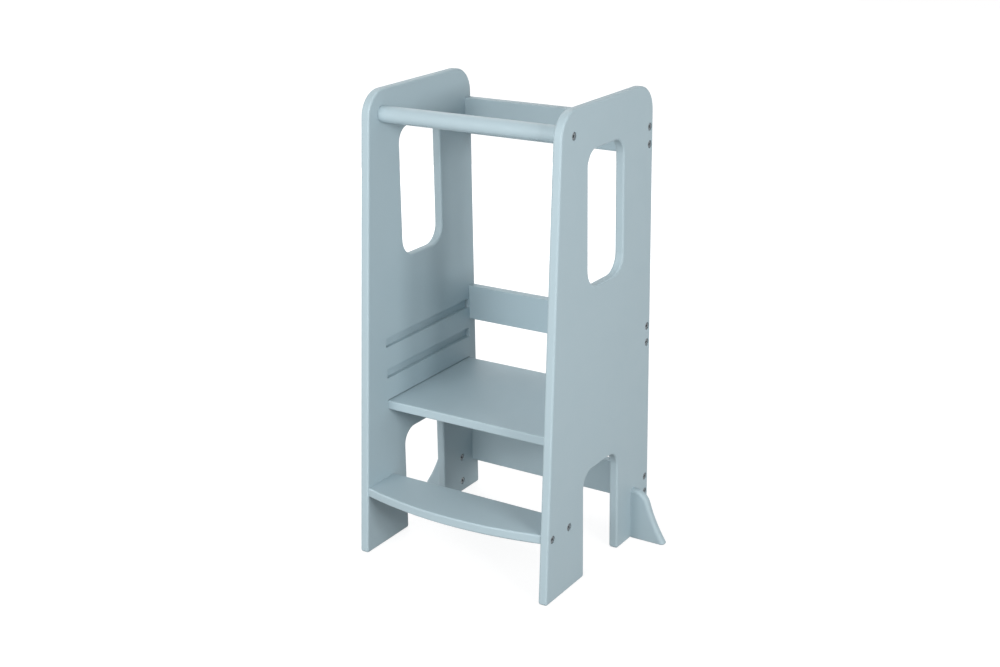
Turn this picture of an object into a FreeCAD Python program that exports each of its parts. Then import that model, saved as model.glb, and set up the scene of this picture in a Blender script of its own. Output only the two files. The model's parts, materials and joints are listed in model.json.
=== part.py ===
import FreeCAD, Part
import math
import os

# A kitchen helper stool for a toddler: two tall side panels of painted board carry
# a standing platform in grooves, a curved lower step, three back rails and a round
# grab bar, and a stabiliser foot is screwed to the outside of each panel.
#
# Frame: +Z is up, the child climbs in from the front at -Y, and +X is the right
# side seen from the front.  The origin is on the floor, at the middle of the stool.
# All sizes are in millimetres.

# ---- Side panels ----
panel_height = 900.0
panel_depth_base = 395.0
panel_depth_top = 332.0
panel_thickness = 18.0
inner_width = 389.0
panel_top_radius = 50.0
panel_leg_radius = 5.0
panel_edge_radius = 4.0

# ---- Hand window, high in each panel ----
window_width = 130.0
window_height = 253.0
window_top_margin = 82.0
window_back_margin = 112.7
window_top_radius = 30.0
window_bottom_radius = 36.0

# ---- Arch between the front and rear leg of each panel ----
arch_width = 130.0
arch_height = 210.5
arch_back_margin = 127.4
arch_radius = 32.0

# ---- Platform and the grooves that it can stand in ----
platform_front_margin = 66.1
platform_thickness = 18.0
platform_rear_gap = 3.3
platform_edge_radius = 3.0
platform_side_clearance = 0.3
platform_end_clearance = 0.3
platform_level = 0
groove_count = 3
groove_pitch = 63.2
groove_headroom = 2.0
groove_depth = 9.0
groove_corner_radius = 3.0
lowest_groove_height = 274.2

# ---- Lower step ----
step_height = 116.8
step_thickness = 18.0
step_end_depth = 84.0
step_bulge = 25.0
step_set_in = 3.0
step_edge_radius = 3.0
step_screw_margin = 12.5

# ---- Back rails ----
rail_height = 72.0
rail_thickness = 18.0
rail_set_in = 4.0
rail_edge_radius = 2.0
rail_screw_margin = 19.4
top_rail_drop = 61.5
middle_rail_base_height = 375.6
lower_rail_base_height = 58.3

# ---- Grab bar ----
bar_diameter = 31.5
bar_drop = 46.0
bar_front_margin = 42.3

# ---- Stabiliser feet ----
foot_height = 105.0
foot_reach = 75.0
foot_thickness = 18.0
foot_back_margin = 52.6
foot_shelf_length = 4.0
foot_shoulder_radius = 34.0
foot_flank_angle = 73.0
foot_edge_radius = 7.5
foot_base_radius = 3.0
foot_lower_screw_height = 24.0
foot_upper_screw_drop = 27.0

# ---- Screws with a hexagon socket, sunk into the panels ----
screw_head_diameter = 14.0
screw_head_height = 3.0
screw_head_recess = 1.0
screw_head_chamfer = 0.5
screw_neck_diameter = 7.0
screw_thread_diameter = 6.4
screw_tip_diameter = 3.0
screw_tip_length = 4.0
screw_length = 50.0
foot_screw_length = 40.0
socket_across_flats = 5.0
socket_depth = 2.5
head_clearance = 0.5
neck_clearance = 0.2
thread_clearance = 0.05
pilot_spare_depth = 2.0

# ---- Working values ----
# How far a cutting tool runs past the face that it breaks through, how near two places
# are when they count as one, and the most of half a board's thickness, or of the corner
# that it runs round, that a rounded edge may take.
cut_past = 1.0
same_place = 1e-4
rounded_share = 0.98

# ---- Places worked out from the sizes above ----
outer_width = inner_width + 2 * panel_thickness
inner_face = inner_width / 2
outer_face = outer_width / 2
front_lean = (panel_depth_base - panel_depth_top) / panel_height
step_middle_height = step_height + step_thickness / 2
step_nose_overhang = step_bulge - step_set_in - front_lean * step_middle_height
overall_depth = panel_depth_base + max(0.0, step_nose_overhang)
back_y = overall_depth / 2
foot_of_front_edge_y = back_y - panel_depth_base
rail_back_y = back_y - rail_set_in
rail_front_y = rail_back_y - rail_thickness
platform_back_y = rail_front_y - platform_rear_gap
platform_front_y = foot_of_front_edge_y + front_lean * lowest_groove_height + platform_front_margin
groove_height = platform_thickness + groove_headroom
bar_axis_height = panel_height - bar_drop
rail_base_heights = {
    "top": panel_height - top_rail_drop - rail_height,
    "middle": middle_rail_base_height,
    "lower": lower_rail_base_height,
}

X_AXIS = FreeCAD.Vector(1, 0, 0)
Y_AXIS = FreeCAD.Vector(0, 1, 0)
Z_AXIS = FreeCAD.Vector(0, 0, 1)
SIDES = {"left": -1, "right": 1}


def front_edge_y(z):
    """Where the leaning front edge of a side panel is at the height z."""
    return foot_of_front_edge_y + front_lean * z


def box_between(low, high):
    """A box from its lowest corner to its highest corner."""
    size = high - low
    return Part.makeBox(size.x, size.y, size.z, low)


def rounded_outline(corners, radii):
    """A closed wire through the corners, each turned by an arc of its own radius."""
    count = len(corners)
    arc_ends = []
    for i in range(count):
        to_last = (corners[i - 1] - corners[i]).normalize()
        to_next = (corners[(i + 1) % count] - corners[i]).normalize()
        half_angle = to_last.getAngle(to_next) / 2
        setback = radii[i] / math.tan(half_angle)
        inwards = (to_last + to_next).normalize()
        to_arc = radii[i] / math.sin(half_angle) - radii[i]
        start = corners[i] + to_last * setback
        middle = corners[i] + inwards * to_arc
        end = corners[i] + to_next * setback
        arc_ends.append((start, middle, end))
    edges = []
    for i in range(count):
        start, middle, end = arc_ends[i]
        edges.append(Part.Arc(start, middle, end).toShape())
        next_start = arc_ends[(i + 1) % count][0]
        edges.append(Part.LineSegment(end, next_start).toShape())
    return Part.Wire(edges)


def flat_edges(shape, axis, position):
    """The edges of a shape that lie in the plane at a position along an axis."""
    found = []
    for edge in shape.Edges:
        box = edge.BoundBox
        low = getattr(box, axis + "Min")
        high = getattr(box, axis + "Max")
        if abs(low - position) < same_place and abs(high - position) < same_place:
            found.append(edge)
    return found


def rounded_both_faces(shape, axis, low, high, radius):
    """A board whose edges are rounded all the way round both of its faces."""
    limit = (high - low) / 2 * rounded_share
    edges = flat_edges(shape, axis, low) + flat_edges(shape, axis, high)
    return shape.makeFillet(min(radius, limit), edges)


# ---------------------------------------------------------------------------
# Screws and their holes
# ---------------------------------------------------------------------------

def screw_neck_length():
    """The plain neck runs from under the head to the face where two boards meet."""
    return panel_thickness - screw_head_recess - screw_head_height


def screw(head_point, direction, length):
    """One screw: head_point is the middle of its head's flat top."""
    head_radius = screw_head_diameter / 2
    neck_end = screw_head_height + screw_neck_length()
    profile = [
        (0, 0),
        (0, head_radius - screw_head_chamfer),
        (screw_head_chamfer, head_radius),
        (screw_head_height, head_radius),
        (screw_head_height, screw_neck_diameter / 2),
        (neck_end, screw_neck_diameter / 2),
        (neck_end, screw_thread_diameter / 2),
        (length - screw_tip_length, screw_thread_diameter / 2),
        (length, screw_tip_diameter / 2),
        (length, 0),
    ]
    points = [FreeCAD.Vector(along, out, 0) for along, out in profile]
    half_section = Part.Face(Part.makePolygon(points + points[:1]))
    body = half_section.revolve(FreeCAD.Vector(0, 0, 0), X_AXIS, 360)
    body = body.cut(hexagon_socket())
    body.Placement = FreeCAD.Placement(head_point, FreeCAD.Rotation(X_AXIS, direction))
    return body


def hexagon_socket():
    """The tool for the socket in a screw head whose top is at x = 0."""
    corner_radius = socket_across_flats / 2 / math.cos(math.radians(30))
    points = []
    for i in range(6):
        angle = math.radians(60 * i)
        y = corner_radius * math.cos(angle)
        z = corner_radius * math.sin(angle)
        points.append(FreeCAD.Vector(-cut_past, y, z))
    hexagon = Part.Face(Part.makePolygon(points + points[:1]))
    return hexagon.extrude(X_AXIS * (cut_past + socket_depth))


class ScrewedJoint:
    """A screw that goes through a side panel and into the piece behind it.

    face_point is where the screw's axis meets the face that it is driven from, and
    direction is the way that it is driven.
    """

    def __init__(self, face_point, direction, length):
        self.face_point = face_point
        self.direction = direction
        self.length = length

    def screw(self):
        head_point = self.face_point + self.direction * screw_head_recess
        return screw(head_point, self.direction, self.length)

    def panel_hole(self):
        """The counterbore for the head and the clearance hole for the neck."""
        start = self.face_point - self.direction * cut_past
        head_depth = cut_past + screw_head_recess + screw_head_height
        neck_depth = panel_thickness + 2 * cut_past
        neck_radius = screw_neck_diameter / 2 + neck_clearance
        head_radius = screw_head_diameter / 2 + head_clearance
        counterbore = Part.makeCylinder(head_radius, head_depth, start, self.direction)
        neck_hole = Part.makeCylinder(neck_radius, neck_depth, start, self.direction)
        return counterbore.fuse(neck_hole)

    def pilot_hole(self):
        """The hole that the thread holds in, in the piece behind the panel."""
        start = self.face_point + self.direction * (panel_thickness - cut_past)
        reach = self.length + screw_head_recess - panel_thickness
        depth = cut_past + reach + pilot_spare_depth
        radius = screw_thread_diameter / 2 + thread_clearance
        return Part.makeCylinder(radius, depth, start, self.direction)


def outside_joint(side, y, z):
    """A screw driven inwards from the outer face of a panel."""
    face_point = FreeCAD.Vector(side * outer_face, y, z)
    return ScrewedJoint(face_point, X_AXIS * -side, screw_length)


def inside_joint(side, y, z):
    """A screw driven outwards from the inner face of a panel."""
    face_point = FreeCAD.Vector(side * inner_face, y, z)
    return ScrewedJoint(face_point, X_AXIS * side, foot_screw_length)


def bar_axis_y():
    return front_edge_y(bar_axis_height) + bar_front_margin


def bar_joints(side):
    return [outside_joint(side, bar_axis_y(), bar_axis_height)]


def rail_joints(side, base_height):
    """Two screws, one above the other, at the middle of the rail's thickness."""
    y = rail_back_y - rail_thickness / 2
    heights = [base_height + rail_screw_margin, base_height + rail_height - rail_screw_margin]
    return [outside_joint(side, y, z) for z in heights]


def step_end_front_y():
    return front_edge_y(step_middle_height) + step_set_in


def step_joints(side):
    """Two screws in each end of the step, one near its front and one near its back."""
    front = step_end_front_y()
    places = [front + step_screw_margin, front + step_end_depth - step_screw_margin]
    return [outside_joint(side, y, step_middle_height) for y in places]


def foot_middle_y():
    return back_y - foot_back_margin - foot_thickness / 2


def foot_joints(side):
    """Two screws, one above the other, driven from inside the stool."""
    heights = [foot_lower_screw_height, foot_height - foot_upper_screw_drop]
    return [inside_joint(side, foot_middle_y(), z) for z in heights]


def drilled(shape, joints):
    """A piece with the pilot holes of its screws."""
    for joint in joints:
        shape = shape.cut(joint.pilot_hole())
    return shape


def both_sides(joints_of_side):
    """The joints of a piece that is held by both panels."""
    return joints_of_side(SIDES["left"]) + joints_of_side(SIDES["right"])


# ---------------------------------------------------------------------------
# Side panels
# ---------------------------------------------------------------------------

def panel_outline():
    """The outline of a panel with its two legs and the arch between them."""
    arch_back_y = back_y - arch_back_margin
    arch_front_y = arch_back_y - arch_width
    corners = [
        (foot_of_front_edge_y, 0, panel_leg_radius),
        (front_edge_y(panel_height), panel_height, panel_top_radius),
        (back_y, panel_height, panel_top_radius),
        (back_y, 0, panel_leg_radius),
        (arch_back_y, 0, panel_leg_radius),
        (arch_back_y, arch_height, arch_radius),
        (arch_front_y, arch_height, arch_radius),
        (arch_front_y, 0, panel_leg_radius),
    ]
    points = [FreeCAD.Vector(0, y, z) for y, z, radius in corners]
    return rounded_outline(points, [radius for y, z, radius in corners])


def window_outline():
    back = back_y - window_back_margin
    front = back - window_width
    top = panel_height - window_top_margin
    sill = top - window_height
    corners = [
        (front, sill, window_bottom_radius),
        (front, top, window_top_radius),
        (back, top, window_top_radius),
        (back, sill, window_bottom_radius),
    ]
    points = [FreeCAD.Vector(0, y, z) for y, z, radius in corners]
    return rounded_outline(points, [radius for y, z, radius in corners])


def groove_base_height(level):
    return lowest_groove_height + level * groove_pitch


def groove(side, level):
    """The stopped groove at a level, counted up from 0, in the inner face of a panel."""
    front = platform_front_y - platform_end_clearance
    back = platform_back_y + platform_end_clearance
    base = groove_base_height(level)
    corners = [(front, base), (front, base + groove_height), (back, base + groove_height), (back, base)]
    start = side * (inner_face - cut_past)
    points = [FreeCAD.Vector(start, y, z) for y, z in corners]
    outline = rounded_outline(points, [groove_corner_radius] * len(points))
    return Part.Face(outline).extrude(X_AXIS * side * (cut_past + groove_depth))


def side_panel(side):
    """A panel with its window, arch, grooves and screw holes."""
    board = Part.Face(panel_outline()).extrude(X_AXIS * panel_thickness)
    window = Part.Face(window_outline()).extrude(X_AXIS * panel_thickness)
    board = board.cut(window)
    edge_radius = min(panel_edge_radius, panel_leg_radius * rounded_share)
    board = rounded_both_faces(board, "X", 0, panel_thickness, edge_radius)
    low_x = min(side * inner_face, side * outer_face)
    board.translate(X_AXIS * low_x)
    for level in range(groove_count):
        board = board.cut(groove(side, level))
    joints = bar_joints(side) + step_joints(side) + foot_joints(side)
    for base_height in rail_base_heights.values():
        joints += rail_joints(side, base_height)
    for joint in joints:
        board = board.cut(joint.panel_hole())
    return board


# ---------------------------------------------------------------------------
# What the panels carry
# ---------------------------------------------------------------------------

def standing_platform():
    """The platform stands on the floor of one pair of grooves."""
    half_width = inner_face + groove_depth - platform_side_clearance
    base = groove_base_height(platform_level)
    low = FreeCAD.Vector(-half_width, platform_front_y, base)
    high = FreeCAD.Vector(half_width, platform_back_y, base + platform_thickness)
    board = box_between(low, high)
    return rounded_long_edges(board, platform_edge_radius, platform_thickness)


def rounded_long_edges(board, radius, thickness):
    """A board whose four edges along X are rounded."""
    length = board.BoundBox.XLength
    edges = [edge for edge in board.Edges if edge.BoundBox.XLength > length / 2]
    return board.makeFillet(min(radius, thickness / 2 * rounded_share), edges)


def lower_step():
    """A step whose front bulges in one arc from panel to panel."""
    front = step_end_front_y()
    back = front + step_end_depth
    front_left = FreeCAD.Vector(-inner_face, front, step_height)
    nose = FreeCAD.Vector(0, front - step_bulge, step_height)
    front_right = FreeCAD.Vector(inner_face, front, step_height)
    back_right = FreeCAD.Vector(inner_face, back, step_height)
    back_left = FreeCAD.Vector(-inner_face, back, step_height)
    outline = Part.Wire([
        Part.Arc(front_left, nose, front_right).toShape(),
        Part.LineSegment(front_right, back_right).toShape(),
        Part.LineSegment(back_right, back_left).toShape(),
        Part.LineSegment(back_left, front_left).toShape(),
    ])
    board = Part.Face(outline).extrude(Z_AXIS * step_thickness)
    board = rounded_long_edges(board, step_edge_radius, step_thickness)
    return drilled(board, both_sides(step_joints))


def back_rail(base_height):
    """A flat rail between the panels, just inside their back edges."""
    low = FreeCAD.Vector(-inner_face, rail_front_y, base_height)
    high = FreeCAD.Vector(inner_face, rail_back_y, base_height + rail_height)
    board = rounded_long_edges(box_between(low, high), rail_edge_radius, rail_thickness)
    return drilled(board, both_sides(lambda side: rail_joints(side, base_height)))


def front_grab_bar():
    """A round bar between the panels."""
    start = FreeCAD.Vector(-inner_face, bar_axis_y(), bar_axis_height)
    bar = Part.makeCylinder(bar_diameter / 2, inner_width, start, X_AXIS)
    return drilled(bar, both_sides(bar_joints))


def tangent_arc(start, direction, end):
    """An arc that leaves start along a direction and reaches end, in the XZ plane."""
    normal = FreeCAD.Vector(-direction.z, 0, direction.x).normalize()
    chord = end - start
    offset = normal.dot(chord)
    if abs(offset) < same_place:
        return Part.LineSegment(start, end).toShape()
    radius = chord.dot(chord) / (2 * offset)
    centre = start + normal * radius
    middle = (start + end) * 0.5 - centre
    middle = centre + middle.normalize() * abs(radius)
    return Part.Arc(start, middle, end).toShape()


def edges_off_panel(edges):
    """Those edges of a foot that don't lie on the panel's outer face."""
    return [edge for edge in edges if edge.BoundBox.XMax > outer_face + same_place]


def stabiliser_foot(side):
    """A fin that stands out from the panel: a shelf, a shoulder and a hollow flank.

    It is nearly round in section along its shoulder and flank, and its base has a
    smaller rounding, so that it stands flat.
    """
    turn = math.radians(foot_flank_angle)
    drop = foot_shoulder_radius * (1 - math.cos(turn))
    half_drop = foot_shoulder_radius * (1 - math.cos(turn / 2))
    shelf_end = outer_face + foot_shelf_length
    front_y = foot_middle_y() - foot_thickness / 2

    def at(x, z):
        return FreeCAD.Vector(x, front_y, z)

    heel = at(outer_face, 0)
    shelf_start = at(outer_face, foot_height)
    shoulder_start = at(shelf_end, foot_height)
    shoulder_middle = at(shelf_end + foot_shoulder_radius * math.sin(turn / 2), foot_height - half_drop)
    shoulder_end = at(shelf_end + foot_shoulder_radius * math.sin(turn), foot_height - drop)
    toe = at(outer_face + foot_reach, 0)
    flank_direction = FreeCAD.Vector(math.cos(turn), 0, -math.sin(turn))
    outline = Part.Wire([
        Part.LineSegment(heel, shelf_start).toShape(),
        Part.LineSegment(shelf_start, shoulder_start).toShape(),
        Part.Arc(shoulder_start, shoulder_middle, shoulder_end).toShape(),
        tangent_arc(shoulder_end, flank_direction, toe),
        Part.LineSegment(toe, heel).toShape(),
    ])
    fin = Part.Face(outline).extrude(Y_AXIS * foot_thickness)
    edge_radius = min(foot_edge_radius, foot_thickness / 2 * rounded_share)
    face_edges = flat_edges(fin, "Y", front_y) + flat_edges(fin, "Y", front_y + foot_thickness)
    flank_edges = [edge for edge in edges_off_panel(face_edges) if edge.BoundBox.ZMax > same_place]
    fin = fin.makeFillet(edge_radius, flank_edges)
    base_edges = edges_off_panel(flat_edges(fin, "Z", 0))
    fin = fin.makeFillet(min(foot_base_radius, edge_radius * rounded_share), base_edges)
    if side == SIDES["left"]:
        fin = fin.mirror(FreeCAD.Vector(0, 0, 0), X_AXIS)
    return drilled(fin, foot_joints(side))


# ---------------------------------------------------------------------------
# The whole stool
# ---------------------------------------------------------------------------

def screw_group(joints):
    """The screws of one joint between two boards, as separate solids."""
    screws = [joint.screw() for joint in joints]
    return screws[0] if len(screws) == 1 else Part.makeCompound(screws)


def all_nodes():
    """Every piece of the stool by its name."""
    nodes = {
        "standing_platform": standing_platform(),
        "lower_step": lower_step(),
        "front_grab_bar": front_grab_bar(),
    }
    for name, base_height in rail_base_heights.items():
        nodes[name + "_back_rail"] = back_rail(base_height)
    for name, side in SIDES.items():
        nodes[name + "_side_panel"] = side_panel(side)
        nodes[name + "_stabiliser_foot"] = stabiliser_foot(side)
        nodes[name + "_bar_screw"] = screw_group(bar_joints(side))
        nodes[name + "_step_screws"] = screw_group(step_joints(side))
        nodes[name + "_foot_screws"] = screw_group(foot_joints(side))
        for rail, base_height in rail_base_heights.items():
            joints = rail_joints(side, base_height)
            nodes[name + "_" + rail + "_rail_screws"] = screw_group(joints)
    return nodes


os.makedirs("parts", exist_ok=True)
for node_name, node_shape in all_nodes().items():
    node_shape.exportStep("parts/" + node_name + ".step")
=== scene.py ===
"""The looks of a toddler's kitchen helper stool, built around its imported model.

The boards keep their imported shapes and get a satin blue-grey paint.  The grab bar and
the screws are made here, as turned surfaces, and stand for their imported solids.  A plain
studio with a white floor lights the stool and holds the camera.

Everything is in metres: +Z is up, the child climbs in from -Y, and +X is the right side.
"""

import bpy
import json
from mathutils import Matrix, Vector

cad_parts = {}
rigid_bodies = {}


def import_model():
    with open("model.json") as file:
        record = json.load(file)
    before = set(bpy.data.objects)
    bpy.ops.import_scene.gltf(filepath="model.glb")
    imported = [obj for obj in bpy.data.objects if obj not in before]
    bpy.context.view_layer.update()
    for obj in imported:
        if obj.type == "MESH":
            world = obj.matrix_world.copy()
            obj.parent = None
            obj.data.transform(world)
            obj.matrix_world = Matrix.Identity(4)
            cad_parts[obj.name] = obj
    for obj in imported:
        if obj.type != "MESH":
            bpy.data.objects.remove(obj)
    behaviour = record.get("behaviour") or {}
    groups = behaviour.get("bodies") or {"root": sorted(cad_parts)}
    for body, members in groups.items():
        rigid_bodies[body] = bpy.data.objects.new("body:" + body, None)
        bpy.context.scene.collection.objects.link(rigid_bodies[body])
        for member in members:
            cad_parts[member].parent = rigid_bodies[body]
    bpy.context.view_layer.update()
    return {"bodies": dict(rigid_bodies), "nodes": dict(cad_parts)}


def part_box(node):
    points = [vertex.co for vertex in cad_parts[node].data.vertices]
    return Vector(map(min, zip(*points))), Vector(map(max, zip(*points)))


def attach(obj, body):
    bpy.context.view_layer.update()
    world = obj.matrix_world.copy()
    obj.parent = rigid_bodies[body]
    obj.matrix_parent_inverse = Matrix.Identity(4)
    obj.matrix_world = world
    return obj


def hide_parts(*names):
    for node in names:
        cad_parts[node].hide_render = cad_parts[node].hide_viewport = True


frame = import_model()

import json
import logging
import math
from dataclasses import dataclass, field
from enum import Enum

import bpy
import numpy as np
from mathutils import Euler, Vector

log = logging.getLogger("stool")

BODY = "root"
PHOTO_WIDTH = 1000

# What smooth noise mostly stays between.
NOISE_RANGE = (0.25, 0.75)

Colour = tuple[float, float, float]
Point = tuple[float, float, float]
Socket = bpy.types.NodeSocket
Number = float | Socket
Tint = tuple[float, float, float, float] | Socket
Place = Point | Socket


class Side(Enum):
    """The two sides of the stool, by the sign of their x."""

    LEFT = -1
    RIGHT = 1

    @property
    def word(self) -> str:
        """The side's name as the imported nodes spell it."""
        return self.name.lower()


class BroadFace(Enum):
    """The axis that a board's two broad faces look along."""

    SIDEWAYS = (1.0, 0.0, 0.0)
    BACKWARDS = (0.0, 1.0, 0.0)
    UPWARDS = (0.0, 0.0, 1.0)


class ScrewJoint(Enum):
    """The joints that are held by screws: the node's ending, and which way they drive.

    The second value is -1 where the screws drive inwards from the outer face of a side
    panel, and 1 where they drive outwards from its inner face.
    """

    BAR = ("bar_screw", -1)
    TOP_RAIL = ("top_rail_screws", -1)
    MIDDLE_RAIL = ("middle_rail_screws", -1)
    LOWER_RAIL = ("lower_rail_screws", -1)
    STEP = ("step_screws", -1)
    FOOT = ("foot_screws", 1)


# ---------------------------------------------------------------------------
# Meshes from grids
# ---------------------------------------------------------------------------

@dataclass
class TurnedGrid:
    """A closed surface of rings round an axis, with a pole at each end.

    Args:
        along: The place of each ring along the axis, one value a ring.
        radii: The distance from the axis, one row a ring and one column an angle.
    """

    along: np.ndarray
    radii: np.ndarray

    def arc_lengths(self) -> np.ndarray:
        """The length of the profile from the first pole to each ring.

        Returns:
            One value a ring: the sum of the straight steps between the rings' mean radii.
        """
        mean = self.radii.mean(axis=1)
        steps = np.hypot(np.diff(self.along), np.diff(mean))
        return mean[0] + np.concatenate([[0.0], np.cumsum(steps)])

    def points(self, start: np.ndarray, axis: float) -> np.ndarray:
        """The vertices, with the turning axis along X.

        A point at distance r and angle a lies at (x, y + r cos a, z + r sin a), where x
        runs from the start in the axis direction.

        Args:
            start: The place where the profile starts.
            axis: 1 to run towards +X and -1 to run towards -X.

        Returns:
            The poles' and rings' vertices as rows of three.
        """
        angles = np.linspace(0.0, 2.0 * np.pi, self.radii.shape[1], endpoint=False)
        x = np.broadcast_to(self.along[:, None], self.radii.shape)
        rings = np.stack([x, self.radii * np.cos(angles), self.radii * np.sin(angles)], axis=-1)
        first = [[self.along[0], 0.0, 0.0]]
        last = [[self.along[-1], 0.0, 0.0]]
        points = np.concatenate([first, rings.reshape(-1, 3), last])
        return start + points * (axis, 1.0, 1.0)

    def faces(self, axis: float) -> tuple[np.ndarray, np.ndarray]:
        """The faces between the rings and at the poles, which look outwards.

        Args:
            axis: As in points: running towards -X turns every face round.

        Returns:
            The quads as rows of four vertex numbers, and the triangles as rows of three.
        """
        rings, count = self.radii.shape
        column = np.arange(count)
        next_column = np.roll(column, -1)
        row = 1 + np.arange(rings - 1)[:, None] * count
        ring = row + column
        next_on_ring = row + next_column
        quads = np.stack([ring, next_on_ring, next_on_ring + count, ring + count], axis=-1)
        end = 1 + rings * count
        last_row = end - count
        first_fan = np.stack([np.zeros(count, int), next_column + 1, column + 1], axis=-1)
        last_fan = np.stack([np.full(count, end), last_row + column, last_row + next_column], axis=-1)
        quads = quads.reshape(-1, 4)
        fans = np.concatenate([first_fan, last_fan])
        if axis < 0:
            quads = quads[:, ::-1]
            fans = fans[:, ::-1]
        return quads, fans


# A turned surface with its start and its direction along X.
PlacedGrid = tuple[TurnedGrid, np.ndarray, float]


def filled_mesh(
    name: str, points: np.ndarray, quads: np.ndarray, triangles: np.ndarray
) -> bpy.types.Mesh:
    """A mesh from whole arrays.

    Args:
        name: The mesh's name.
        points: The vertices as rows of three.
        quads: Rows of four vertex numbers.
        triangles: Rows of three vertex numbers.

    Returns:
        The mesh, with smooth faces.
    """
    mesh = bpy.data.meshes.new(name)
    mesh.vertices.add(len(points))
    mesh.vertices.foreach_set("co", points.astype(np.float32).ravel())
    corners = np.concatenate([quads.ravel(), triangles.ravel()])
    totals = np.concatenate([np.full(len(quads), 4), np.full(len(triangles), 3)])
    starts = np.concatenate([[0], np.cumsum(totals)[:-1]])
    mesh.loops.add(len(corners))
    mesh.loops.foreach_set("vertex_index", corners.astype(np.int32))
    mesh.polygons.add(len(totals))
    mesh.polygons.foreach_set("loop_start", starts.astype(np.int32))
    mesh.polygons.foreach_set("use_smooth", np.ones(len(totals), bool))
    mesh.update(calc_edges=True)
    mesh.validate()
    return mesh


def add_attribute(mesh: bpy.types.Mesh, name: str, values: np.ndarray) -> None:
    """Stores one number a vertex, for a material to read.

    Args:
        mesh: The mesh.
        name: The attribute's name.
        values: One value a vertex.
    """
    attribute = mesh.attributes.new(name, "FLOAT", "POINT")
    attribute.data.foreach_set("value", values.astype(np.float32))


def turned_piece(name: str, grids: list[PlacedGrid], sharp_angle: float) -> bpy.types.Object:
    """One object from one or more turned surfaces.

    Args:
        name: The object's name.
        grids: Each surface with its start and its direction along X.
        sharp_angle: The angle in radians past which an edge is sharp.

    Returns:
        The object, with the attribute "profile" holding the length along the profile.
    """
    points, quads, triangles, profile = [], [], [], []
    offset = 0
    for grid, start, axis in grids:
        vertices = grid.points(start, axis)
        four, three = grid.faces(axis)
        lengths = np.repeat(grid.arc_lengths(), grid.radii.shape[1])
        points.append(vertices)
        quads.append(four + offset)
        triangles.append(three + offset)
        profile.append(np.concatenate([[0.0], lengths, lengths[-1:]]))
        offset += len(vertices)
    mesh = filled_mesh(name, *map(np.concatenate, (points, quads, triangles)))
    add_attribute(mesh, "profile", np.concatenate(profile))
    mesh.set_sharp_from_angle(angle=sharp_angle)
    piece = bpy.data.objects.new(name, mesh)
    bpy.context.scene.collection.objects.link(piece)
    return piece


# ---------------------------------------------------------------------------
# Shader nodes
# ---------------------------------------------------------------------------

class Nodes:
    """A node tree that is being wired up."""

    def __init__(self, tree: bpy.types.NodeTree) -> None:
        """Starts on a tree, which may be a material's or a group's."""
        self.tree = tree

    def add(self, kind: str, inputs: dict | None = None, **settings: object) -> bpy.types.Node:
        """Adds a node.

        Args:
            kind: The node's type name.
            inputs: Socket names or numbers with a value, or another node's socket to link.
            settings: Properties of the node.

        Returns:
            The node.
        """
        node = self.tree.nodes.new(kind)
        for name, value in settings.items():
            setattr(node, name, value)
        for socket, value in (inputs or {}).items():
            if isinstance(value, bpy.types.NodeSocket):
                self.tree.links.new(value, node.inputs[socket])
            else:
                node.inputs[socket].default_value = value
        return node

    def math(self, operation: str, *values: Number) -> Socket:
        """A Math node's result; each value is a number or a socket."""
        return self.add("ShaderNodeMath", dict(enumerate(values)), operation=operation).outputs[0]

    def noise(self, vector: Socket, scale: Number, detail: float = 2.0) -> Socket:
        """Smooth noise from about 0 to 1 round 0.5."""
        inputs = {"Vector": vector, "Scale": scale, "Detail": detail, "Roughness": 0.55}
        return self.add("ShaderNodeTexNoise", inputs).outputs["Fac"]

    def ramp(
        self, value: Socket, low: float, high: float, to_low: Number = 0.0, to_high: Number = 1.0
    ) -> Socket:
        """A value from low to high carried smoothly to the range from to_low to to_high."""
        inputs = {"Value": value, "From Min": low, "From Max": high, "To Min": to_low, "To Max": to_high}
        return self.add("ShaderNodeMapRange", inputs, interpolation_type="SMOOTHSTEP").outputs[0]

    def mixed(self, share: Number, first: Tint, second: Tint) -> Socket:
        """Two colours mixed; a share of 1 is the second."""
        return self.add("ShaderNodeMix", {0: share, 6: first, 7: second}, data_type="RGBA").outputs[2]

    def vector(self, operation: str, first: Place, second: Place) -> Socket:
        """A Vector Math node's vector; each value is a vector or a socket."""
        node = self.add("ShaderNodeVectorMath", {0: first, 1: second}, operation=operation)
        return node.outputs["Vector"]

    def group(self, tree: bpy.types.NodeTree, inputs: dict) -> bpy.types.Node:
        """Adds a shared effect with its inputs."""
        return self.add("ShaderNodeGroup", inputs, node_tree=tree)


@dataclass(frozen=True)
class Effect:
    """A shader node group that several materials use.

    Args:
        name: The group's name.
        inputs: Each input's name with its socket type and starting value.
        outputs: Each output's name with its socket type.
    """

    name: str
    inputs: dict[str, tuple[str, object]]
    outputs: dict[str, str]

    def open(self) -> tuple[Nodes, bpy.types.Node, bpy.types.Node]:
        """Makes the group with its sockets.

        Returns:
            The nodes to wire up, the group's input node and its output node.
        """
        tree = bpy.data.node_groups.new(self.name, "ShaderNodeTree")
        for name, (kind, value) in self.inputs.items():
            socket = tree.interface.new_socket(name, in_out="INPUT", socket_type=kind)
            if value is not None:
                socket.default_value = value
        for name, kind in self.outputs.items():
            tree.interface.new_socket(name, in_out="OUTPUT", socket_type=kind)
        nodes = Nodes(tree)
        return nodes, nodes.add("NodeGroupInput"), nodes.add("NodeGroupOutput")


def close(nodes: Nodes, output: bpy.types.Node, results: dict[str, Socket]) -> bpy.types.NodeTree:
    """Links a group's results to its output node.

    Args:
        nodes: The group's nodes.
        output: Its output node.
        results: Each output's name with the socket that feeds it.

    Returns:
        The group.
    """
    for name, socket in results.items():
        nodes.tree.links.new(socket, output.inputs[name])
    return nodes.tree


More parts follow.
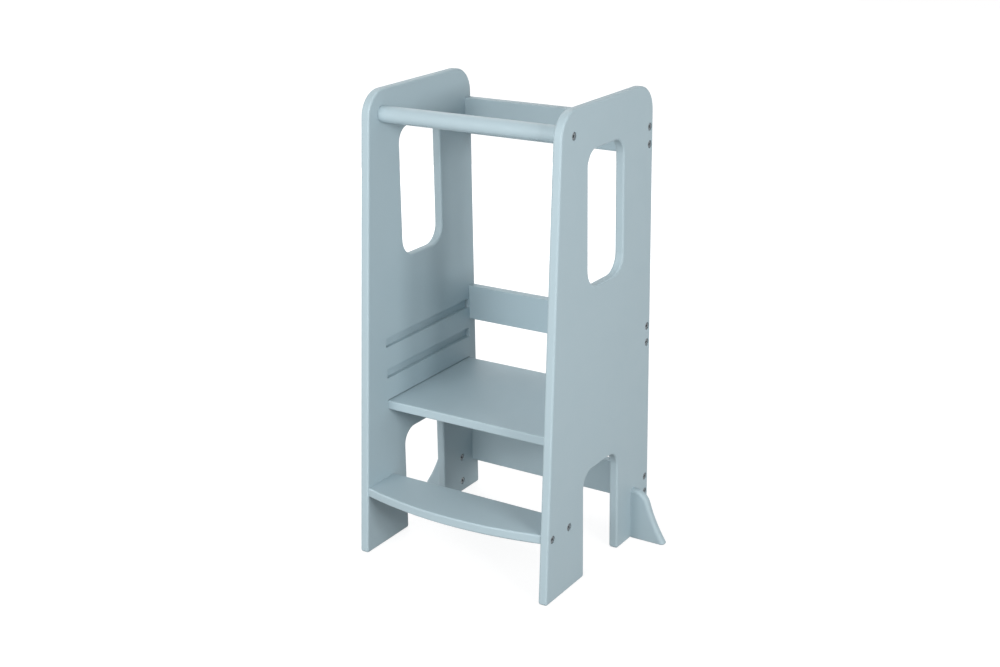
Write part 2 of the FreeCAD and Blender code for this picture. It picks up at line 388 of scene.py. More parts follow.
def paint_film_group() -> bpy.types.NodeTree:
    """Sprayed paint: faint clouds in its tone and gloss, and the fine dimples of its skin.

    The gloss wanders in clouds of a quarter of the tone's size, and broader swells lie
    under the dimples.

    Returns:
        The group.
    """
    gloss_clouds = 4.0
    swell_scale = 0.22
    swell_height = 1.5
    effect = Effect(
        "paint film",
        {
            "Vector": ("NodeSocketVector", None),
            "Colour": ("NodeSocketColor", (0.5, 0.6, 0.65, 1.0)),
            "Cloud Size": ("NodeSocketFloat", 0.12),
            "Cloud Depth": ("NodeSocketFloat", 0.02),
            "Dimple Size": ("NodeSocketFloat", 0.0015),
        },
        {"Colour": "NodeSocketColor", "Gloss": "NodeSocketFloat", "Height": "NodeSocketFloat"},
    )
    nodes, given, output = effect.open()
    vector = given.outputs["Vector"]
    cloud_scale = nodes.math("DIVIDE", 1.0, given.outputs["Cloud Size"])
    dimple_scale = nodes.math("DIVIDE", 1.0, given.outputs["Dimple Size"])
    cloud = nodes.noise(vector, cloud_scale, detail=4.0)
    shift = nodes.math("MULTIPLY", nodes.math("SUBTRACT", cloud, 0.5), given.outputs["Cloud Depth"])
    level = nodes.math("ADD", 1.0, nodes.math("MULTIPLY", shift, 2.0))
    grey = nodes.add("ShaderNodeCombineColor", {0: level, 1: level, 2: level}).outputs[0]
    tinted = nodes.vector("MULTIPLY", given.outputs["Colour"], grey)
    gloss = nodes.noise(vector, nodes.math("MULTIPLY", cloud_scale, gloss_clouds), detail=3.0)
    dimples = nodes.noise(vector, dimple_scale)
    swells = nodes.noise(vector, nodes.math("MULTIPLY", dimple_scale, swell_scale))
    height = nodes.math("ADD", dimples, nodes.math("MULTIPLY", swells, swell_height))
    return close(nodes, output, {"Colour": tinted, "Gloss": gloss, "Height": height})


def cut_edge_group() -> bpy.types.NodeTree:
    """The edges of a fibre board: the cut fibres on them, and the arris that is rubbed smooth.

    The share of the normal that looks along the broad faces is 1 on them, 0 on the cut
    edges, and in between on the rounded arris.  The fibres are squeezed along that
    direction and stretched across it, because the board is pressed in layers.

    Returns:
        The group.
    """
    cut_fades = (0.25, 0.85)
    arris_starts = (0.12, 0.55)
    arris_ends = (0.75, 0.97)
    layer_squeeze = (2.5, 2.5, 2.5)
    layer_stretch = (0.45, 0.45, 0.45)
    effect = Effect(
        "cut edge",
        {
            "Vector": ("NodeSocketVector", None),
            "Normal": ("NodeSocketVector", None),
            "Broad Face": ("NodeSocketVector", (0.0, 0.0, 1.0)),
            "Fibre Size": ("NodeSocketFloat", 0.0012),
        },
        {"Cut": "NodeSocketFloat", "Arris": "NodeSocketFloat", "Height": "NodeSocketFloat"},
    )
    nodes, given, output = effect.open()
    broad = given.outputs["Broad Face"]
    both = {0: given.outputs["Normal"], 1: broad}
    facing = nodes.add("ShaderNodeVectorMath", both, operation="DOT_PRODUCT")
    share = nodes.math("ABSOLUTE", facing.outputs["Value"])
    cut = nodes.ramp(share, *cut_fades, 1.0, 0.0)
    off_the_edge = nodes.ramp(share, *arris_starts)
    off_the_face = nodes.ramp(share, *arris_ends, 1.0, 0.0)
    arris = nodes.math("MULTIPLY", off_the_edge, off_the_face)
    squeeze = nodes.vector("MULTIPLY", broad, layer_squeeze)
    stretch = nodes.vector("ADD", squeeze, layer_stretch)
    layered = nodes.vector("MULTIPLY", given.outputs["Vector"], stretch)
    fibre_scale = nodes.math("DIVIDE", 1.0, given.outputs["Fibre Size"])
    fibres = nodes.noise(layered, fibre_scale, detail=5.0)
    height = nodes.math("MULTIPLY", fibres, cut)
    return close(nodes, output, {"Cut": cut, "Arris": arris, "Height": height})


def turning_marks_group() -> bpy.types.NodeTree:
    """The rings that a lathe leaves, and a dull bloom over them.

    Returns:
        The group.
    """
    effect = Effect(
        "turning marks",
        {
            "Vector": ("NodeSocketVector", None),
            "Profile": ("NodeSocketFloat", 0.0),
            "Ring Pitch": ("NodeSocketFloat", 0.00025),
            "Bloom Size": ("NodeSocketFloat", 0.002),
        },
        {"Height": "NodeSocketFloat", "Bloom": "NodeSocketFloat"},
    )
    nodes, given, output = effect.open()
    turns = nodes.math("DIVIDE", given.outputs["Profile"], given.outputs["Ring Pitch"])
    rings = nodes.math("SINE", nodes.math("MULTIPLY", turns, 2.0 * math.pi))
    bloom_scale = nodes.math("DIVIDE", 1.0, given.outputs["Bloom Size"])
    bloom = nodes.noise(given.outputs["Vector"], bloom_scale, detail=4.0)
    return close(nodes, output, {"Height": rings, "Bloom": bloom})


@dataclass
class Effects:
    """The shader effects that the finishes share, each built once."""

    paint_film: bpy.types.NodeTree = field(default_factory=paint_film_group)
    cut_edge: bpy.types.NodeTree = field(default_factory=cut_edge_group)
    turning_marks: bpy.types.NodeTree = field(default_factory=turning_marks_group)


def new_material(name: str) -> tuple[Nodes, bpy.types.Node, bpy.types.Material]:
    """An empty material.

    Args:
        name: Its name.

    Returns:
        Its nodes, its Principled shader and the material.
    """
    material = bpy.data.materials.new(name)
    material.use_nodes = True
    material.node_tree.nodes.clear()
    nodes = Nodes(material.node_tree)
    shader = nodes.add("ShaderNodeBsdfPrincipled")
    nodes.add("ShaderNodeOutputMaterial", {"Surface": shader.outputs[0]})
    return nodes, shader, material


# ---------------------------------------------------------------------------
# Finishes
# ---------------------------------------------------------------------------

@dataclass(frozen=True)
class SprayedPaint:
    """A satin blue-grey paint, sprayed on fibre board and on the turned bar.

    Args:
        colour: The paint's colour, linear.
        edge_colour: Its colour where it sinks into a cut edge.
        arris_highlight_colour: Its colour on a rounded arris, a shade lighter: a painted highlight where
            the paint is also thinner.
        roughness: How rough it is.
        edge_roughness: How much rougher the cut edges are.
        arris_polish: How much smoother the arrises are rubbed.
        gloss_spread: How far the roughness wanders over a face.
        cloud_size: The size of the faint clouds in its tone.
        cloud_depth: How much the tone changes over them.
        dimple_size: The distance between the dimples of its skin.
        fibre_size: The size of the fibres that show through on a cut edge.
        relief: The depth of the dimples and fibres.
        specular: The strength of its reflection.
    """

    colour: Colour = (0.398, 0.504, 0.551)
    edge_colour: Colour = (0.403, 0.508, 0.554)
    arris_highlight_colour: Colour = (0.408, 0.512, 0.558)
    roughness: float = 0.47
    edge_roughness: float = 0.05
    arris_polish: float = 0.04
    gloss_spread: float = 0.10
    cloud_size: float = 0.14
    cloud_depth: float = 0.022
    dimple_size: float = 0.0016
    fibre_size: float = 0.0012
    relief: float = 0.00003
    specular: float = 0.25

    def film(self, nodes: Nodes, effects: Effects, vector: Socket, colour: Tint) -> bpy.types.Node:
        """The film of paint over a pattern place and a colour.

        Args:
            nodes: The material's nodes.
            effects: The shared shader effects.
            vector: The place in the pattern.
            colour: The colour under the clouds, as a socket or four numbers.

        Returns:
            The group node.
        """
        return nodes.group(effects.paint_film, {
            "Vector": vector,
            "Colour": colour,
            "Cloud Size": self.cloud_size,
            "Cloud Depth": self.cloud_depth,
            "Dimple Size": self.dimple_size,
        })

    def wandering_roughness(self, nodes: Nodes, gloss: Socket) -> Socket:
        """The roughness, which wanders with the gloss by the spread."""
        half = self.gloss_spread / 2
        return nodes.ramp(gloss, *NOISE_RANGE, self.roughness - half, self.roughness + half)

    def material(
        self, name: str, effects: Effects, broad_face: BroadFace, shift: Point
    ) -> bpy.types.Material:
        """The paint on one board.

        Args:
            name: The material's name.
            effects: The shared shader effects.
            broad_face: The way that the board's broad faces look.
            shift: Moves the pattern, so that no two boards are alike.

        Returns:
            The material.
        """
        nodes, shader, material = new_material(name)
        place = nodes.add("ShaderNodeTexCoord")
        mapping = {"Vector": place.outputs["Object"], "Location": shift}
        moved = nodes.add("ShaderNodeMapping", mapping).outputs[0]
        edge = nodes.group(effects.cut_edge, {
            "Vector": moved,
            "Normal": place.outputs["Normal"],
            "Broad Face": broad_face.value,
            "Fibre Size": self.fibre_size,
        })
        cut, arris = edge.outputs["Cut"], edge.outputs["Arris"]
        base = nodes.mixed(cut, (*self.colour, 1.0), (*self.edge_colour, 1.0))
        # The rounded arris takes a slightly lighter colour: a painted highlight along the edge, where the
        # paint is also thinner.
        rubbed = nodes.mixed(arris, base, (*self.arris_highlight_colour, 1.0))
        film = self.film(nodes, effects, moved, rubbed)
        rough = self.wandering_roughness(nodes, film.outputs["Gloss"])
        rough = nodes.math("ADD", rough, nodes.math("MULTIPLY", cut, self.edge_roughness))
        rough = nodes.math("SUBTRACT", rough, nodes.math("MULTIPLY", arris, self.arris_polish))
        height = nodes.math("ADD", film.outputs["Height"], edge.outputs["Height"])
        self.coat(nodes, shader, film.outputs["Colour"], rough, height)
        return material

    def coat(
        self, nodes: Nodes, shader: bpy.types.Node, colour: Socket, roughness: Socket, height: Socket
    ) -> None:
        """Wires the paint to a shader.

        Args:
            nodes: The material's nodes.
            shader: Its Principled shader.
            colour: The paint's colour.
            roughness: Its roughness.
            height: The height of its dimples and fibres, before the relief's depth.
        """
        bump = nodes.add("ShaderNodeBump", {"Height": height, "Distance": self.relief, "Strength": 1.0})
        nodes.tree.links.new(colour, shader.inputs["Base Color"])
        nodes.tree.links.new(roughness, shader.inputs["Roughness"])
        nodes.tree.links.new(bump.outputs[0], shader.inputs["Normal"])
        shader.inputs["Specular IOR Level"].default_value = self.specular


@dataclass(frozen=True)
class GrippedPaint(SprayedPaint):
    """The same paint on the grab bar, which hands rub smoother in the middle.

    Args:
        rubbed: How much smoother the middle of the bar is.
        grip_start: The distance from the middle where the rubbed part starts to end.
        grip_end: The distance from the middle where it has ended.
    """

    cloud_size: float = 0.07
    rubbed: float = 0.05
    grip_start: float = 0.09
    grip_end: float = 0.17

    def bar_material(self, name: str, effects: Effects) -> bpy.types.Material:
        """The paint on the bar, whose length runs along X.

        Args:
            name: The material's name.
            effects: The shared shader effects.

        Returns:
            The material.
        """
        nodes, shader, material = new_material(name)
        place = nodes.add("ShaderNodeTexCoord").outputs["Object"]
        film = self.film(nodes, effects, place, (*self.edge_colour, 1.0))
        across = nodes.add("ShaderNodeSeparateXYZ", {0: place}).outputs[0]
        from_middle = nodes.math("ABSOLUTE", across)
        grip = nodes.ramp(from_middle, self.grip_start, self.grip_end, self.rubbed, 0.0)
        rough = nodes.math("SUBTRACT", self.wandering_roughness(nodes, film.outputs["Gloss"]), grip)
        self.coat(nodes, shader, film.outputs["Colour"], rough, film.outputs["Height"])
        return material


@dataclass(frozen=True)
class DarkenedSteel:
    """Dark plating on a turned screw, with a dull bloom and the rings of its turning.

    Args:
        bright: The plating's colour, linear.
        dull: Its colour under the bloom.
        roughness: The least roughness.
        bloom_roughness: How much rougher the bloom is.
        bloom_size: The size of the bloom's spots.
        bloom_start: The value of the bloom's noise at which it starts to show.
        bloom_full: The value at which it is full.
        ring_pitch: The distance between turning marks.
        relief: Their depth.
    """

    bright: Colour = (0.215, 0.240, 0.255)
    dull: Colour = (0.140, 0.160, 0.170)
    roughness: float = 0.36
    bloom_roughness: float = 0.2
    bloom_size: float = 0.002
    bloom_start: float = 0.35
    bloom_full: float = 0.7
    ring_pitch: float = 0.00028
    relief: float = 0.000006

    def material(self, name: str, effects: Effects) -> bpy.types.Material:
        """The plating on a set of screws.

        Args:
            name: The material's name.
            effects: The shared shader effects.

        Returns:
            The material.
        """
        nodes, shader, material = new_material(name)
        marks = nodes.group(effects.turning_marks, {
            "Vector": nodes.add("ShaderNodeTexCoord").outputs["Object"],
            "Profile": nodes.add("ShaderNodeAttribute", attribute_name="profile").outputs["Fac"],
            "Ring Pitch": self.ring_pitch,
            "Bloom Size": self.bloom_size,
        })
        bloom = nodes.ramp(marks.outputs["Bloom"], self.bloom_start, self.bloom_full)
        colour = nodes.mixed(bloom, (*self.bright, 1.0), (*self.dull, 1.0))
        rough = nodes.math("ADD", self.roughness, nodes.math("MULTIPLY", bloom, self.bloom_roughness))
        relief = {"Height": marks.outputs["Height"], "Distance": self.relief}
        bump = nodes.add("ShaderNodeBump", relief)
        nodes.tree.links.new(colour, shader.inputs["Base Color"])
        nodes.tree.links.new(rough, shader.inputs["Roughness"])
        nodes.tree.links.new(bump.outputs[0], shader.inputs["Normal"])
        shader.inputs["Metallic"].default_value = 1.0
        return material


# ---------------------------------------------------------------------------
# The stool
# ---------------------------------------------------------------------------

@dataclass
class PaintedBoards:
    """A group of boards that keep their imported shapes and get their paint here.

    Args:
        paint: Their finish.
        effects: The shared shader effects.
        pattern_start: The place in the paint's pattern where the group's first board lies.
        pattern_step: How far the pattern moves on from one board to the next, along X, Y and Z.
    """

    paint: SprayedPaint
    effects: Effects
    pattern_start: float = 0.0
    pattern_step: Point = (0.37, 0.26, 0.15)

    def boards(self) -> dict[str, BroadFace]:
        """Each board's node with the way that its broad faces look."""
        raise NotImplementedError

    def dress(self) -> None:
        """Paints every board, each with its own piece of the pattern."""
        for number, (node, broad_face) in enumerate(self.boards().items()):
            shift = tuple(self.pattern_start + number * step for step in self.pattern_step)
            name = "paint on " + node.replace("_", " ")
            material = self.paint.material(name, self.effects, broad_face, shift)
            board = frame["nodes"][node]
            board.data.materials.clear()
            board.data.materials.append(material)
            log.info("%s painted", node)


@dataclass
class SideFrame(PaintedBoards):
    """One side of the stool: its tall panel and the stabiliser foot outside it.

    Args:
        side: Which side it is.
    """

    side: Side = Side.RIGHT

    def boards(self) -> dict[str, BroadFace]:
        """The panel, whose broad faces look sideways, and the foot across it."""
        return {
            self.side.word + "_side_panel": BroadFace.SIDEWAYS,
            self.side.word + "_stabiliser_foot": BroadFace.BACKWARDS,
        }


@dataclass
class Treads(PaintedBoards):
    """What the child stands on: the platform in its grooves and the curved step."""

    def boards(self) -> dict[str, BroadFace]:
        """The two boards that lie flat."""
        return {"standing_platform": BroadFace.UPWARDS, "lower_step": BroadFace.UPWARDS}


@dataclass
class BackRails(PaintedBoards):
    """The three rails between the back edges of the panels."""

    def boards(self) -> dict[str, BroadFace]:
        """The rails, whose broad faces look to the front and the back."""
        return {height + "_back_rail": BroadFace.BACKWARDS for height in ("top", "middle", "lower")}


@dataclass
class GrabBar:
    """The round bar across the front, turned with eased ends and pilot holes for its screws.

    Args:
        paint: Its finish.
        effects: The shared shader effects.
        end_ease: The radius that its ends are eased to.
        ease_points: How many rings that quarter circle has.
        pilot_radius: The radius of the screw hole in each end.
        pilot_depth: The depth of that hole.
        angles: How many faces it has round.
        rings: How many rings it has between its ends.
        sanding: How far hand sanding leaves it out of round.
        sharp_angle: The angle past which its edges are sharp.
        node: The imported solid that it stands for.
    """

    paint: GrippedPaint
    effects: Effects
    end_ease: float = 0.0006
    ease_points: int = 5
    pilot_radius: float = 0.00325
    pilot_depth: float = 0.035
    angles: int = 128
    rings: int = 60
    sanding: float = 0.00002
    sharp_angle: float = math.radians(40.0)
    node: str = "front_grab_bar"

    def half_profile(self, length: float, radius: float) -> tuple[np.ndarray, np.ndarray]:
        """The bar's outline from the bottom of one pilot hole to the end of the eased edge.

        The eased edge is a quarter circle: its points are (ease - ease cos a) along and
        (ease sin a) out, for the angle a from 0 to a right angle.

        Args:
            length: The bar's length.
            radius: Its radius.

        Returns:
            The places along the bar, from its end inwards, and the radii.
        """
        turn = np.linspace(0.0, np.pi / 2, self.ease_points)
        hole_along = [self.pilot_depth, self.pilot_depth, 0.0]
        hole_radii = [self.pilot_radius / 2, self.pilot_radius, self.pilot_radius]
        eased_along = self.end_ease * (1.0 - np.cos(turn))
        eased_radii = radius - self.end_ease + self.end_ease * np.sin(turn)
        along = np.concatenate([hole_along, eased_along])
        return np.minimum(along, length / 2), np.concatenate([hole_radii, eased_radii])

    def grid(self, length: float, radius: float) -> TurnedGrid:
        """The whole bar as rings.

        Sanding moves a ring's point at the angle a out by the sum of two slow waves,
        sin(2a + 5x/length) and sin(3a - 3x/length), times the sanding depth.

        Args:
            length: The bar's length.
            radius: Its radius.

        Returns:
            The turned surface.
        """
        along, radii = self.half_profile(length, radius)
        middle = np.linspace(along[-1], length - along[-1], self.rings)[1:-1]
        places = np.concatenate([along, middle, length - along[::-1]])
        mean = np.concatenate([radii, np.full(len(middle), radius), radii[::-1]])
        angles = np.linspace(0.0, 2.0 * np.pi, self.angles, endpoint=False)
        x = places[:, None] / length
        waves = (np.sin(2.0 * angles + 5.0 * x) + np.sin(3.0 * angles - 3.0 * x)) / 2.0
        is_skin = (mean > radius - self.end_ease)[:, None]
        return TurnedGrid(places, mean[:, None] - self.sanding * (1.0 - waves) / 2.0 * is_skin)

    def build(self) -> bpy.types.Object:
        """Makes the bar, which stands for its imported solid.

        Returns:
            The bar.
        """
        low, high = (np.array(corner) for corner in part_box(self.node))
        centre = (low + high) / 2
        start = np.array([low[0], centre[1], centre[2]])
        grid = self.grid(high[0] - low[0], (high[2] - low[2]) / 2)
        piece = turned_piece("grab_bar", [(grid, start, 1.0)], self.sharp_angle)
        piece.data.materials.append(self.paint.bar_material("paint on the grab bar", self.effects))
        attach(piece, BODY)
        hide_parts(self.node)
        log.info("%s made, %d faces", piece.name, len(piece.data.polygons))
        return piece


@dataclass
class Screws:
    """The screws of one side, with their hexagon sockets and rolled threads.

    Args:
        side: The panel that they go through.
        plating: Their finish.
        effects: The shared shader effects.
        head_radius: The radius of the head.
        head_height: Its height.
        head_chamfer: The bevel round its top.
        chamfer_step: The share of the bevel at which its extra ring lies.
        neck_radius: The radius of the plain neck in the panel.
        neck_length: Its length.
        crest_radius: The radius over the thread.
        root_radius: The radius between its turns.
        thread_pitch: The distance from one turn to the next.
        thread_wave: The height of the thread's wave before it is clipped at 1 to a flat crest.
        tip_radius: The radius of the blunt tip.
        tip_length: The length that the thread fades out over.
        socket_across_flats: The width of the hexagon socket.
        socket_depth: Its depth.
        socket_floor_share: The width of its cone's end as a share of the hexagon.
        socket_lead_in: The bevel at its mouth.
        angles: How many points a ring has.
        rings_a_turn: How many rings a turn of the thread has.
        sharp_angle: The angle past which an edge is sharp.
    """

    side: Side
    plating: DarkenedSteel
    effects: Effects
    head_radius: float = 0.007
    head_height: float = 0.003
    head_chamfer: float = 0.0005
    chamfer_step: float = 0.3
    neck_radius: float = 0.0035
    neck_length: float = 0.014
    crest_radius: float = 0.0032
    root_radius: float = 0.0024
    thread_pitch: float = 0.0028
    thread_wave: float = 1.3
    tip_radius: float = 0.0015
    tip_length: float = 0.004
    socket_across_flats: float = 0.005
    socket_depth: float = 0.0025
    socket_floor_share: float = 0.3
    socket_lead_in: float = 0.0003
    angles: int = 48
    rings_a_turn: int = 8
    sharp_angle: float = math.radians(38.0)

    def hexagon(self) -> np.ndarray:
        """The socket's distance from the axis at each angle.

        A flat is at half the width across flats, so at the angle a from the middle of
        the nearest flat the wall is at that distance divided by cos a.

        Returns:
            One value an angle.
        """
        angles = np.linspace(0.0, 2.0 * np.pi, self.angles, endpoint=False)
        sixth = np.pi / 3.0
        from_flat = (angles + sixth / 2) % sixth - sixth / 2
        return self.socket_across_flats / 2 / np.cos(from_flat)

    def head(self) -> tuple[np.ndarray, np.ndarray]:
        """The head from the bottom of its socket to the neck under it.

        Returns:
            The places along the axis and the radii, one row a ring.
        """
        hexagon = self.hexagon()
        circle = np.ones(self.angles)
        mouth = hexagon.max() + self.socket_lead_in / 2
        top = self.head_radius - self.head_chamfer
        step = self.head_chamfer * self.chamfer_step
        rings = [
            (self.socket_depth + self.socket_lead_in, hexagon * self.socket_floor_share),
            (self.socket_depth, hexagon),
            (self.socket_lead_in, hexagon),
            (0.0, circle * mouth),
            (0.0, circle * (mouth + top) / 2),
            (0.0, circle * top),
            (step, circle * (self.head_radius - step)),
            (self.head_chamfer, circle * self.head_radius),
            (self.head_height, circle * self.head_radius),
            (self.head_height, circle * self.neck_radius),
            (self.head_height + self.neck_length, circle * self.neck_radius),
        ]
        return np.array([place for place, ring in rings]), np.array([ring for place, ring in rings])

    def thread(self, length: float) -> tuple[np.ndarray, np.ndarray]:
        """The thread from the neck to the tip.

        At the place x and angle a the thread's phase is x / pitch - a / (2 pi).  Its
        height is the triangle wave of that phase with a flattened crest, and it fades
        out over the first turn and over the tip.

        Args:
            length: The length of the whole screw.

        Returns:
            The places along the axis and the radii, one row a ring.
        """
        start = self.head_height + self.neck_length
        count = max(2, round((length - start) / self.thread_pitch * self.rings_a_turn))
        places = np.linspace(start, length, count)
        angles = np.linspace(0.0, 1.0, self.angles, endpoint=False)
        phase = (places[:, None] / self.thread_pitch - angles) % 1.0
        slope = 2.0 * self.thread_wave
        wave = np.clip(self.thread_wave - slope * np.abs(2.0 * phase - 1.0), 0.0, 1.0)
        run_in = np.clip((places - start) / self.thread_pitch, 0.0, 1.0)
        run_out = np.clip((length - places) / self.tip_length, 0.0, 1.0)
        core = self.tip_radius + (self.root_radius - self.tip_radius) * run_out
        depth = (self.crest_radius - self.root_radius) * run_in * run_out
        return places, core[:, None] + depth[:, None] * wave

    def grid(self, length: float) -> TurnedGrid:
        """One whole screw as rings, from its socket to its tip.

        Args:
            length: Its length.

        Returns:
            The turned surface.
        """
        head_places, head_radii = self.head()
        thread_places, thread_radii = self.thread(length)
        places = np.concatenate([head_places, thread_places])
        return TurnedGrid(places, np.concatenate([head_radii, thread_radii]))

    def build_joint(self, joint: ScrewJoint) -> bpy.types.Object:
        """Makes the screws of one joint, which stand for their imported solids.

        Args:
            joint: The joint that they hold.

        Returns:
            The screws, as one object.
        """
        ending, sense = joint.value
        node = self.side.word + "_" + ending
        low, high = (np.array(corner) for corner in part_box(node))
        axis = float(self.side.value * sense)
        head_x = low[0] if axis > 0 else high[0]
        length = high[0] - low[0]
        first = np.array([head_x, low[1] + self.head_radius, low[2] + self.head_radius])
        last = np.array([head_x, high[1] - self.head_radius, high[2] - self.head_radius])
        is_pair = np.abs(last - first).max() > self.head_radius
        starts = [first, last] if is_pair else [(first + last) / 2]
        grid = self.grid(length)
        placed = [(grid, start, axis) for start in starts]
        piece = turned_piece(node + "_turned", placed, self.sharp_angle)
        name = "plating on " + node.replace("_", " ")
        piece.data.materials.append(self.plating.material(name, self.effects))
        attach(piece, BODY)
        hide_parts(node)
        log.info("%s made, %d screws", piece.name, len(starts))
        return piece

    def build(self) -> list[bpy.types.Object]:
        """Makes the screws of every joint of this side."""
        return [self.build_joint(joint) for joint in ScrewJoint]


# ---------------------------------------------------------------------------
# The studio
# ---------------------------------------------------------------------------

@dataclass(frozen=True)
class Softbox:
    """A square soft lamp that faces the stool.

    Args:
        name: The lamp's name.
        azimuth: Its direction from the stool in degrees: 0 is the front and 90 the right.
        elevation: Its height above the horizon in degrees.
        power: Its power in watts.
        size: Its width and height.
        distance: Its distance from the point that it faces.
        colour: Its colour, linear.
        reflects: Whether it shows in reflections.
    """

    name: str
    azimuth: float
    elevation: float
    power: float
    size: float = 2.0
    distance: float = 3.2
    colour: Colour = (1.0, 1.0, 1.0)
    reflects: bool = True

    def build(self, target: Vector) -> bpy.types.Object:
        """Makes the lamp.

        Args:
            target: The point that it faces.

        Returns:
            The lamp.
        """
        turn, lift = math.radians(self.azimuth), math.radians(self.elevation)
        away = Vector((math.sin(turn) * math.cos(lift), -math.cos(turn) * math.cos(lift), math.sin(lift)))
        data = bpy.data.lights.new(self.name, "AREA")
        data.shape = "SQUARE"
        data.size = self.size
        data.energy = self.power
        data.color = self.colour
        lamp = bpy.data.objects.new(self.name, data)
        lamp.location = target + away * self.distance
        lamp.rotation_mode = "QUATERNION"
        lamp.rotation_quaternion = away.to_track_quat("Z", "Y")
        lamp.visible_glossy = self.reflects
        bpy.context.scene.collection.objects.link(lamp)
        return lamp


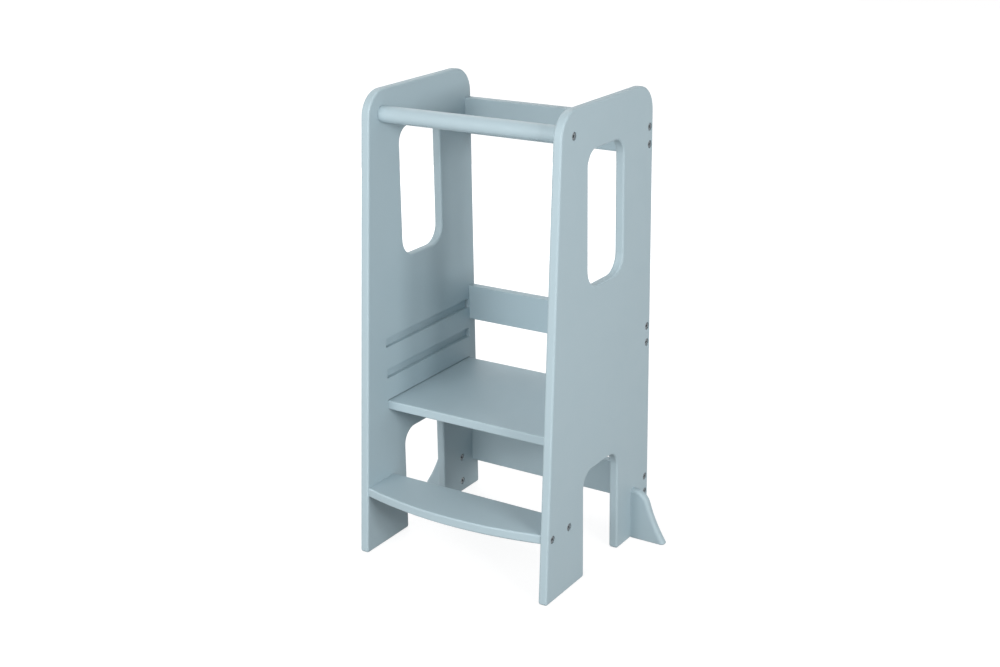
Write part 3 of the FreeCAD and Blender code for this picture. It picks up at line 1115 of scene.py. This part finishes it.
@dataclass
class Studio:
    """A white floor, soft lamps and the camera at the photograph's viewing angle.

    Args:
        softboxes: The lamps.
        ambient: The light from all round, as a linear colour.
        target: The point that the lamps face.
        floor_half: Half the floor's width.
        floor_drop: How far the floor is under the feet, so that the two don't fight.
        floor_colour: The floor's colour.
        floor_glow: The plain white that is added to what the camera sees of the floor.
        glow_start: The distance from the middle at which that glow starts to grow.
        glow_end: The distance at which it is plain white.
        camera_place: The camera's place.
        camera_yaw: Its turn to the left of +Y in degrees.
        camera_pitch: Its tilt above the horizon in degrees.
        camera_roll: Its roll in degrees.
        focal_pixels: Its focal length in pixels of the photograph.
        sensor_width: Its sensor's width in millimetres.
        shift_y: Its upward shift as a share of the photograph's width.
    """

    softboxes: tuple[Softbox, ...] = (
        Softbox("front fill", 0.0, 25.0, 54.5),
        Softbox("low left fill", -15.0, 8.0, 28.0),
        Softbox("right fill", 90.0, 8.0, 15.0),
        Softbox("back left fill", -135.0, 45.0, 24.5),
        Softbox("low back fill", -145.0, 5.0, 38.0, reflects=False),
        Softbox("front key", 62.0, 15.0, 21.8, size=0.4),
        Softbox("side key", 72.0, 15.0, 20.8, size=0.4),
    )
    ambient: Colour = (0.34, 0.34, 0.34)
    target: Point = (0.0, 0.0, 0.45)
    floor_half: float = 8.0
    floor_drop: float = 0.0004
    floor_colour: Colour = (0.25, 0.25, 0.25)
    floor_glow: float = 0.85
    glow_start: float = 0.5
    glow_end: float = 2.2
    camera_place: Point = (1.52183, -2.34973, 1.42089)
    camera_yaw: float = 32.946
    camera_pitch: float = -18.150
    camera_roll: float = -0.899
    focal_pixels: float = 1559.0
    sensor_width: float = 36.0
    shift_y: float = -0.035

    def build_floor(self) -> bpy.types.Object:
        """Makes the floor, which looks white and still takes the stool's shadow.

        Returns:
            The floor.
        """
        half = self.floor_half
        corners = np.array([[-half, -half, 0.0], [half, -half, 0.0], [half, half, 0.0], [-half, half, 0.0]])
        corners[:, 2] -= self.floor_drop
        mesh = filled_mesh("floor", corners, np.array([[0, 1, 2, 3]]), np.zeros((0, 3), int))
        floor = bpy.data.objects.new("floor", mesh)
        bpy.context.scene.collection.objects.link(floor)
        mesh.materials.append(self.floor_material())
        return floor

    def floor_material(self) -> bpy.types.Material:
        """Pale paper that glows up to plain white where the camera or a reflection looks.

        The glow is least round the stool, where it leaves room for the paper's own light and
        so for the stool's shadow, and grows to plain white further out.

        Returns:
            The material.
        """
        material = bpy.data.materials.new("white studio floor")
        material.use_nodes = True
        material.node_tree.nodes.clear()
        nodes = Nodes(material.node_tree)
        place = nodes.add("ShaderNodeTexCoord").outputs["Object"]
        distance = nodes.add("ShaderNodeVectorMath", {0: place}, operation="LENGTH").outputs["Value"]
        glow = nodes.ramp(distance, self.glow_start, self.glow_end, self.floor_glow, 1.0)
        white = nodes.add("ShaderNodeEmission", {"Color": (1.0, 1.0, 1.0, 1.0), "Strength": glow})
        paper = nodes.add("ShaderNodeBsdfDiffuse", {"Color": (*self.floor_colour, 1.0)})
        shown = nodes.add("ShaderNodeAddShader", {0: white.outputs[0], 1: paper.outputs[0]})
        looks = {0: seen_share(nodes), 1: paper.outputs[0], 2: shown.outputs[0]}
        mix = nodes.add("ShaderNodeMixShader", looks)
        nodes.add("ShaderNodeOutputMaterial", {"Surface": mix.outputs[0]})
        return material

    def build_world(self) -> None:
        """Gives the world a white look and its share of the light on the stool."""
        world = bpy.data.worlds.new("studio")
        world.use_nodes = True
        world.node_tree.nodes.clear()
        nodes = Nodes(world.node_tree)
        colour = nodes.mixed(seen_share(nodes), (*self.ambient, 1.0), (1.0, 1.0, 1.0, 1.0))
        background = nodes.add("ShaderNodeBackground", {"Color": colour, "Strength": 1.0})
        nodes.add("ShaderNodeOutputWorld", {"Surface": background.outputs[0]})
        bpy.context.scene.world = world

    def build_camera(self) -> bpy.types.Object:
        """Makes the camera at the photograph's viewing angle.

        Returns:
            The camera.
        """
        data = bpy.data.cameras.new("camera")
        data.sensor_width = self.sensor_width
        data.lens = self.focal_pixels * self.sensor_width / PHOTO_WIDTH
        data.shift_y = self.shift_y
        camera = bpy.data.objects.new("camera", data)
        camera.location = self.camera_place
        pitch = math.radians(90.0 + self.camera_pitch)
        turned = Euler((pitch, 0.0, math.radians(self.camera_yaw)), "XYZ").to_matrix()
        roll = Euler((0.0, 0.0, math.radians(self.camera_roll)), "XYZ").to_matrix()
        camera.rotation_euler = (turned @ roll).to_euler()
        bpy.context.scene.collection.objects.link(camera)
        bpy.context.scene.camera = camera
        return camera

    def build(self) -> None:
        """Makes the whole studio."""
        bpy.context.scene.view_settings.view_transform = "Standard"
        self.build_world()
        self.build_floor()
        for softbox in self.softboxes:
            softbox.build(Vector(self.target))
        self.build_camera()
        log.info("studio lit by %d softboxes", len(self.softboxes))


def seen_share(nodes: Nodes) -> Socket:
    """Tells what is looked at from what only gives light.

    Args:
        nodes: The nodes of the material or the world.

    Returns:
        1 where the camera, a reflection or a see-through surface looks, and 0 for other light.
    """
    path = nodes.add("ShaderNodeLightPath")
    straight = nodes.math("MAXIMUM", path.outputs["Is Camera Ray"], path.outputs["Is Glossy Ray"])
    return nodes.math("MAXIMUM", straight, path.outputs["Is Transmission Ray"])


# ---------------------------------------------------------------------------
# Everything in order
# ---------------------------------------------------------------------------

def remove_start_objects() -> None:
    """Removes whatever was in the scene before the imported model."""
    kept = set(frame["nodes"].values()) | set(frame["bodies"].values())
    for other in set(bpy.context.scene.objects) - kept:
        bpy.data.objects.remove(other)


def write_sizes() -> None:
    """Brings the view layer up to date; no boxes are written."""
    bpy.context.view_layer.update()


def main() -> None:
    """Builds the stool's looks and the studio."""
    logging.basicConfig(level=logging.INFO, format="%(message)s")
    remove_start_objects()
    effects = Effects()
    paint = SprayedPaint()
    SideFrame(paint, effects, pattern_start=0.0, side=Side.LEFT).dress()
    SideFrame(paint, effects, pattern_start=0.9, side=Side.RIGHT).dress()
    Treads(paint, effects, pattern_start=1.8).dress()
    BackRails(paint, effects, pattern_start=2.7).dress()
    GrabBar(GrippedPaint(), effects).build()
    for side in Side:
        Screws(side, DarkenedSteel(), effects).build()
    Studio().build()
    write_sizes()


if __name__ == "__main__":
    main()
